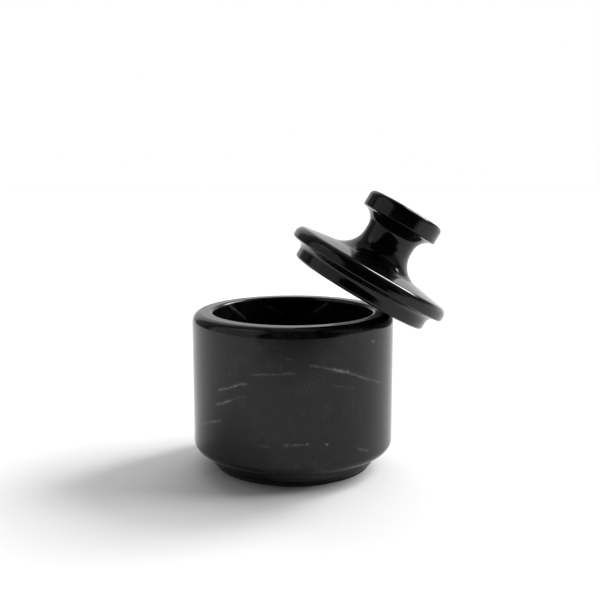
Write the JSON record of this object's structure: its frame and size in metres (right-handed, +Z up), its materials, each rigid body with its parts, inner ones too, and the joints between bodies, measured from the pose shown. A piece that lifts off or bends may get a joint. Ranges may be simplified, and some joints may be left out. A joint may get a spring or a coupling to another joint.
{
  "type": "salt cellar",
  "caption": "Round polished black marble salt cellar: a thick-walled pot on a stepped foot, and a loose lid with a spigot, a flange and a waisted disc knob, leaning on the rim.",
  "frame": {"origin": "middle of the pad's underside, on the pot's axis, on the table", "axes": "+Z up along the pot's axis, +X towards the side of the rim that the lid leans on"},
  "size_m": [0.1062, 0.085, 0.1163],
  "materials": {
    "marble": "polished black marble with thin white veins",
    "pad": "matt black rubber sheet"
  },
  "bodies": {
    "pot": {"pot": "marble", "base_pad": "pad"},
    "lid": {"lid": "marble"}
  },
  "joints": [
    {"name": "lid_lift", "type": "slide", "parent": "pot", "child": "lid", "axis": [0, 0, 1], "range_m": [0, 0.07]}
  ]
}
